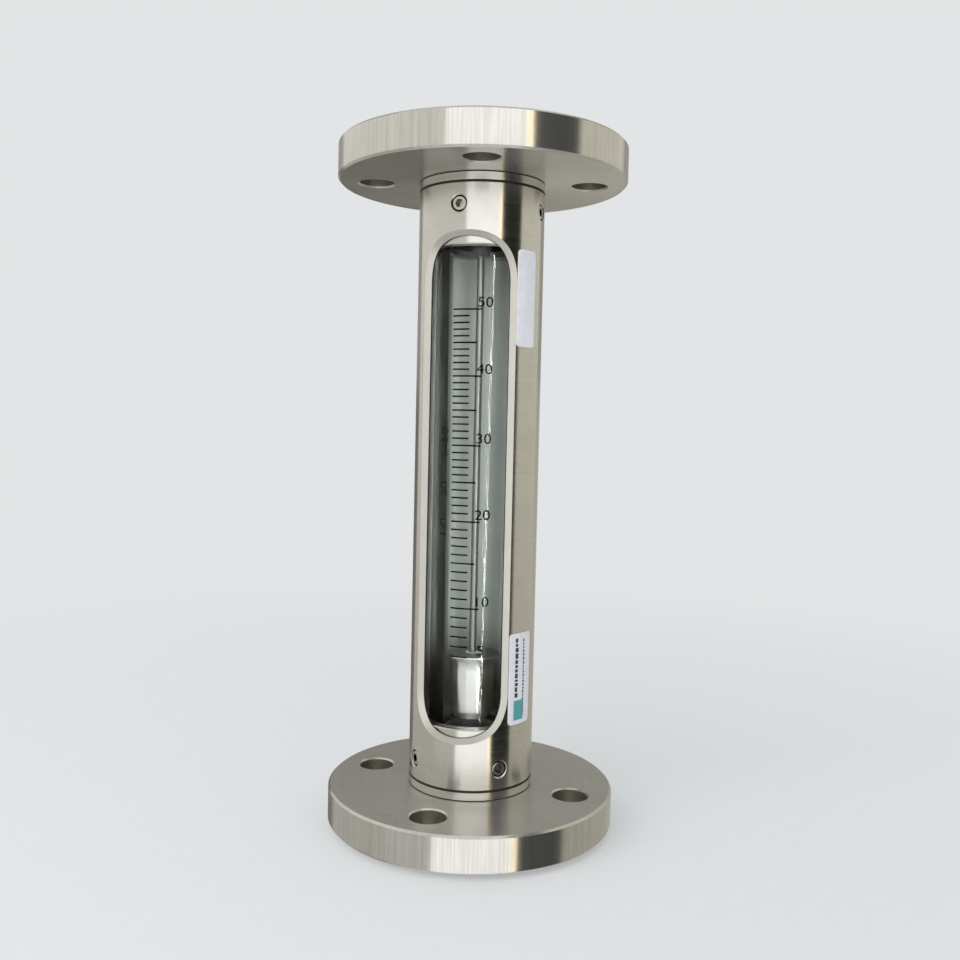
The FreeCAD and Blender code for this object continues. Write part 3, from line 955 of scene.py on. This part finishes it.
class METER_OT_float(bpy.types.Operator):
    """Build the float, its guide rod and the two stops"""
    bl_idname = "meter.float"
    bl_label = "Float and Rod"

    def execute(self, context):
        size = sizes()
        low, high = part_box("float_body")
        foot, head, crown = low[2], high[0], high[2]
        body = head - size.float_overhang
        base = body - size.float_taper
        rim = crown - size.float_rim
        cone, cone_height = 2 * MM, 3 * MM
        flare = arc_points((body, rim - size.float_flare), (head, rim),
                           -size.float_hollow, 20)
        outline = [(size.float_bore, foot), (base - cone, foot), (base, foot + cone_height),
                   *flare, (head, crown), (size.float_bore, crown)]
        piece = turned("turned_float", outline)
        polished = turned_steel("polished_stainless_float", colours().polished, roughness=0.26,
                                spacing=0.8 * MM, marks=0.002, anisotropy=1.0)
        place(piece, polished, "float_steel", "float", "float_body")
        # Painted shade: the float's top face is coloured much darker than its polished skin.
        faced = turned_steel("faced_float_crown_with_painted_shade", colours().crown, roughness=0.35,
                             spacing=0.5 * MM)
        refinish(piece, faced, lambda distance, level, up: up > 0.9)
        self.rod_and_stops()
        return {"FINISHED"}

    def rod_and_stops(self):
        """Rod with chamfered ends, and a disc with a sleeve at each end of the travel."""
        size = sizes()
        low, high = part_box("guide_rod")
        r, bottom, top, e = high[0], low[2], high[2], 0.3 * MM
        outline = [(0, bottom), (r - e, bottom), (r, bottom + e), (r, top - e),
                   (r - e, top), (0, top)]
        drawn = turned_steel("drawn_stainless_rod", colours().rod, roughness=0.34, spacing=2 * MM,
                             marks=0.01, anisotropy=0.6)
        place(turned("drawn_guide_rod", outline, 64), drawn, "rod_steel", "housing",
              "guide_rod")
        dark = even_finish("black_moulded_acetal", colours().acetal, roughness=0.38, grain=0.15,
                           size=0.6 * MM)
        bore, sleeve, e = r + 0.05 * MM, size.stop_sleeve, 0.4 * MM
        for end in ENDS:
            low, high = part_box(f"{end}_float_stop")
            up = 1 if end == "lower" else -1
            back, tip = (low[2], high[2])[::up]
            disc, step = high[0], tip - up * size.stop_disc
            outline = [(bore, back), (sleeve, back), (sleeve, step), (disc - e, step),
                       (disc, step + up * e), (disc, tip - up * e), (disc - e, tip),
                       (bore, tip)]
            place(turned(f"{end}_stop_disc", outline, 96), dark, "stop_plastic", "housing",
                  f"{end}_float_stop")


def label_shell(name, turn, width, bottom, top, radius, thickness, corner):
    """Curved label with rounded corners and a thickness.

    Across each row the half width is full, less corner - sqrt(corner^2 - d^2) within a
    corner's height of either end, where d is the height into the corner.
    """
    rows = np.concatenate([bottom + corner * (1 - np.cos(np.linspace(0, np.pi / 2, 12))),
                           top - corner * (1 - np.cos(np.linspace(np.pi / 2, 0, 12)))])
    inset = np.clip(np.maximum(bottom + corner - rows, rows - top + corner), 0, corner)
    half = width / 2 - corner + np.sqrt(corner ** 2 - inset ** 2)
    across = np.linspace(-1, 1, 24)[None, :]
    angles = turn + across * half[:, None] / radius
    outer = around(radius + thickness, angles, rows[:, None])
    inner = around(radius, angles, rows[:, None])
    rim_out = np.concatenate([outer[0], outer[1:, -1], outer[-1, -2::-1], outer[-2:0:-1, 0]])
    rim_in = np.concatenate([inner[0], inner[1:, -1], inner[-1, -2::-1], inner[-2:0:-1, 0]])
    return sheet(name, [(outer, False), (inner, False), (np.stack([rim_out, rim_in]), True)])


class METER_OT_labels(bpy.types.Operator):
    """Stick the two blank labels beside the window, with plain printed bars"""
    bl_idname = "meter.labels"
    bl_label = "Labels"

    def execute(self, context):
        size = sizes()
        radius = tube_span()[0] + 0.02 * MM
        film = even_finish("white_label_film", colours().film, roughness=0.42, grain=0.05,
                           size=3 * MM)
        for name, turn, width in (
                ("upper_label", size.upper_film_turn, size.upper_film_width),
                ("lower_label", size.lower_film_turn, size.lower_film_width)):
            low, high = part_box(name)
            piece = label_shell(name + "_film", turn, width, low[2], high[2], radius,
                                size.film, size.film_corner)
            place(piece, film, "label_film", "housing", name)
        self.print_lower(radius)
        return {"FINISHED"}

    def print_lower(self, radius):
        """Plain field and two columns of plain bars on the lower label."""
        size = sizes()
        low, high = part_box("lower_label")
        bottom, top = low[2], high[2]
        skin = radius + size.film + 0.02 * MM
        centre = size.lower_film_turn
        accent = even_finish("printed_accent", colours().accent, roughness=0.4, grain=0.05,
                             size=1 * MM)
        field = patch(skin, centre - 3.6 * MM / radius, centre + 1.8 * MM / radius,
                      bottom + 1.6 * MM, bottom + 9.4 * MM)
        place(sheet("label_accent_field", [(field, False)], closed=False), accent,
              "label_film", "housing")
        ink = even_finish("label_print", colours().bars, roughness=0.5, grain=0.05, size=1 * MM)
        rng = np.random.default_rng(7)
        gap, margin = 0.45 * MM, 2.2 * MM
        bars = []
        for offset, start, scale in ((-3.2, 10.6, 1.7), (1.2, 3.0, 1.0)):
            left = centre + offset * MM / radius
            level = bottom + start * MM
            while level < top - margin:
                tall = rng.uniform(0.5, 1.3) * scale * MM
                wide = rng.uniform(0.75, 1.0) * scale * MM
                bars.append((patch(skin, left, left + wide / radius, level,
                                   level + tall, columns=3), False))
                level += tall + gap
        place(sheet("label_bars", bars, closed=False), ink, "label_film", "housing")


class METER_OT_inner(bpy.types.Operator):
    """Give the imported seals, rings, spiders, bushes and set screws their finishes"""
    bl_idname = "meter.inner"
    bl_label = "Inner Pieces and Screws"

    def execute(self, context):
        machined = turned_steel("machined_inner_steel", colours().machined, roughness=0.4,
                                spacing=0.5 * MM)
        dress([f"{end}_{part}" for end in ENDS
               for part in ("gland_ring", "rod_spider", "retaining_ring")], machined)
        rubber = even_finish("moulded_nitrile_rubber", colours().rubber, roughness=0.6, grain=0.2,
                             size=0.5 * MM)
        dress([f"{end}_oring" for end in ENDS], rubber)
        ptfe = even_finish("turned_ptfe", colours().ptfe, roughness=0.5, grain=0.15,
                           size=0.8 * MM)
        dress([f"{end}_glass_gasket" for end in ENDS], ptfe)
        dress([f"float_{end}_bush" for end in ENDS], ptfe)
        screw = socket_screw_steel("stainless_set_screw_with_painted_shade", colours().screw,
                                   tube_span()[0] - 0.45 * MM)
        dress([f"set_screw_{end}_{i}" for end in ENDS for i in (1, 2, 3, 4)], screw)
        return {"FINISHED"}


# ---------------------------------------------------------------- stage

def studio_world():
    """Even pale light from every side, the colour of the background."""
    world = bpy.data.worlds.new("pale_studio")
    bpy.context.scene.world = world
    world.use_nodes = True
    tree = world.node_tree
    tree.nodes.clear()
    light = add(tree, "Background", {"Color": colours().floor, "Strength": 1.0})
    add(tree, "OutputWorld", {"Surface": light.outputs[0]})


def floor_material(name):
    """Matt pale floor that blends into the background away from the object."""
    material, tree = new_material(name)
    base = colours().floor
    matt = add(tree, "BsdfDiffuse", {
        "Color": shaded(tree, base, (mottle(tree, 6 * MM), 0.985, 1.01))})
    far = add(tree, "Emission", {"Color": base, "Strength": 1.0})
    coords = add(tree, "TexCoord").outputs["Object"]
    radius = add(tree, "VectorMath", {0: coords}, operation="LENGTH").outputs["Value"]
    share = add(tree, "MapRange", {"Value": radius, "From Min": 0.15, "From Max": 0.6,
                                   "To Min": 0.35, "To Max": 1.0}).outputs["Result"]
    mix = add(tree, "MixShader", {"Fac": share, 1: matt.outputs[0], 2: far.outputs[0]})
    add(tree, "OutputMaterial", {"Surface": mix.outputs[0]})
    return material


def area_lamp(name, turn, distance, level, width, height, radiance):
    """White rectangular lamp that faces the axis, hidden from the camera itself.

    Its power is radiance times pi times its area.
    """
    lamp = bpy.data.lights.new(name, "AREA")
    lamp.shape = "RECTANGLE"
    lamp.size, lamp.size_y = width, height
    lamp.energy = radiance * math.pi * width * height
    holder = bpy.data.objects.new(name, lamp)
    holder.location = around(distance, math.radians(turn), level)
    holder.rotation_euler = (math.radians(90), 0, math.radians(turn))
    holder.visible_camera = False
    bpy.context.scene.collection.objects.link(holder)
    return holder


def broken_light(tree, cells):
    """Split a lamp's face into cells along its height, with uneven dark gaps."""
    tree.nodes.clear()
    face = add(tree, "NewGeometry").outputs["Parametric"]
    along = add(tree, "VectorMath", {0: face, 1: (1, cells, 0)}, operation="MULTIPLY")
    uneven = add(tree, "TexNoise", {"Vector": along.outputs["Vector"], "Scale": 1.0,
                                    "Detail": 2.0}).outputs["Fac"]
    lit = add(tree, "MapRange", {"Value": uneven, "From Min": 0.47, "From Max": 0.53,
                                 "To Min": 0.05}).outputs["Result"]
    light = add(tree, "Emission", {"Strength": lit}).outputs[0]
    add(tree, "OutputLight", {"Surface": light})


CARDS = (     # name, turns in degrees, heights in metres, glow low down and up, shade
    ("left_card", -125, -55, -1.0, 1.2, 0.52, 1.0, "#f8f6ee"),
    ("near_card", -55, -15, -1.0, 1.2, 0.60, 0.92, "#faf8f2"),
    ("white_card", -15, 45, -1.0, 1.2, 1.45, 1.5, "#ffffff"),
    ("warm_card", 45, 49, -1.0, 1.2, 2.2, 2.6, "#fff0cf"),
    ("dark_card", 49, 88, -1.0, 1.2, 0.02, 0.03, "#dfe6d4"),
    ("right_card", 88, 150, -1.0, 1.2, 0.52, 0.86, "#f7f4e4"),
    ("back_card", 150, 235, 0.2, 1.2, 0.34, 0.38, "#fbfaf2"),
    ("low_back_card", 150, 193, -1.0, 0.2, 0.5, 0.5, "#fbf8ea"),
    ("low_left_card", 193, 235, -1.0, 0.2, 0.18, 0.18, "#fbf8ea"),
)


def reflector(name, first, last, bottom, top, low, high, shade):
    """Curved card 0.75 m from the axis that shows only in reflections.

    Its glow rises evenly from low, 0.25 m under the floor, to high, 0.55 m over it.
    """
    turn = np.radians(np.linspace(first, last, 24))[None, :]
    level = np.array([[bottom], [top]])
    card = sheet(name, [(around(0.75, turn, level), False)], closed=False)
    material, tree = new_material(name + "_cloth")
    coords = add(tree, "TexCoord").outputs["Object"]
    height = add(tree, "SeparateXYZ", {"Vector": coords}).outputs["Z"]
    glow = add(tree, "MapRange", {"Value": height, "From Min": -0.25, "From Max": 0.55,
                                  "To Min": low, "To Max": high}).outputs["Result"]
    light = add(tree, "Emission", {"Color": linear(shade), "Strength": glow})
    add(tree, "OutputMaterial", {"Surface": light.outputs[0]})
    card.data.materials.append(material)
    card.visible_camera = False
    card.visible_diffuse = False
    card.visible_shadow = False


class METER_OT_stage(bpy.types.Operator):
    """Set up the floor, the light and the camera"""
    bl_idname = "meter.stage"
    bl_label = "Stage"

    def execute(self, context):
        turn = np.linspace(0, 2 * np.pi, 96, endpoint=False)[None, :]
        radii = np.array([0.001, 0.2, 1.0, 4.0])[:, None]
        disc = around(radii, turn, -0.1 * MM)
        floor = sheet("studio_floor", [(disc[::-1], True)], closed=False)
        floor.data.materials.append(floor_material("matt_studio_floor"))
        floor.visible_glossy = False
        studio_world()
        lamp = area_lamp("window_light", turn=-28, distance=0.9, level=0.25, width=0.96,
                         height=1.6, radiance=2.5)
        lamp.visible_glossy = False
        for card in CARDS:
            reflector(*card)
        self.camera(context)
        context.scene.view_settings.view_transform = "Standard"
        return {"FINISHED"}

    def camera(self, context):
        """Camera to the right of the window, a little over the tube's middle."""
        lens = bpy.data.cameras.new("camera")
        lens.sensor_width = 36.0
        lens.lens = 37.2
        lens.shift_x, lens.shift_y = 0.0111, -0.0198
        lens.clip_start = 0.01
        holder = bpy.data.objects.new("camera", lens)
        holder.location = (0.08914, -0.39173, 0.16333)
        holder.rotation_euler = [math.radians(a) for a in (87.600, -1.253, 13.296)]
        context.scene.collection.objects.link(holder)
        context.scene.camera = holder


OPERATORS = (METER_OT_stage, METER_OT_flanges, METER_OT_fittings, METER_OT_housing,
             METER_OT_glass, METER_OT_scale, METER_OT_float, METER_OT_labels,
             METER_OT_inner)


class METER_PT_panel(bpy.types.Panel):
    """Sidebar panel that lists the operators, sizes and colours"""
    bl_label = "Flow Meter"
    bl_idname = "METER_PT_panel"
    bl_space_type = "VIEW_3D"
    bl_region_type = "UI"
    bl_category = "Flow Meter"

    def draw(self, context):
        for operator in OPERATORS:
            self.layout.operator(operator.bl_idname)
        for group in (context.scene.meter_sizes, context.scene.meter_colours):
            for name in group.bl_rna.properties.keys():
                if name not in ("rna_type", "name"):
                    self.layout.prop(group, name)


CLASSES = (MeterSizes, MeterColours, *OPERATORS, METER_PT_panel)


def register():
    """Register the classes and hang the settings on the scene."""
    for cls in CLASSES:
        bpy.utils.register_class(cls)
    bpy.types.Scene.meter_sizes = PointerProperty(type=MeterSizes)
    bpy.types.Scene.meter_colours = PointerProperty(type=MeterColours)


def unregister():
    """Take the settings and the classes away again."""
    del bpy.types.Scene.meter_colours
    del bpy.types.Scene.meter_sizes
    for cls in reversed(CLASSES):
        bpy.utils.unregister_class(cls)


def main():
    """Build everything in order."""
    register()
    for operator in OPERATORS:
        group, name = operator.bl_idname.split(".")
        result = getattr(getattr(bpy.ops, group), name)()
        if result != {"FINISHED"}:
            raise RuntimeError(f"{operator.bl_label} didn't finish")


if __name__ == "__main__":
    main()
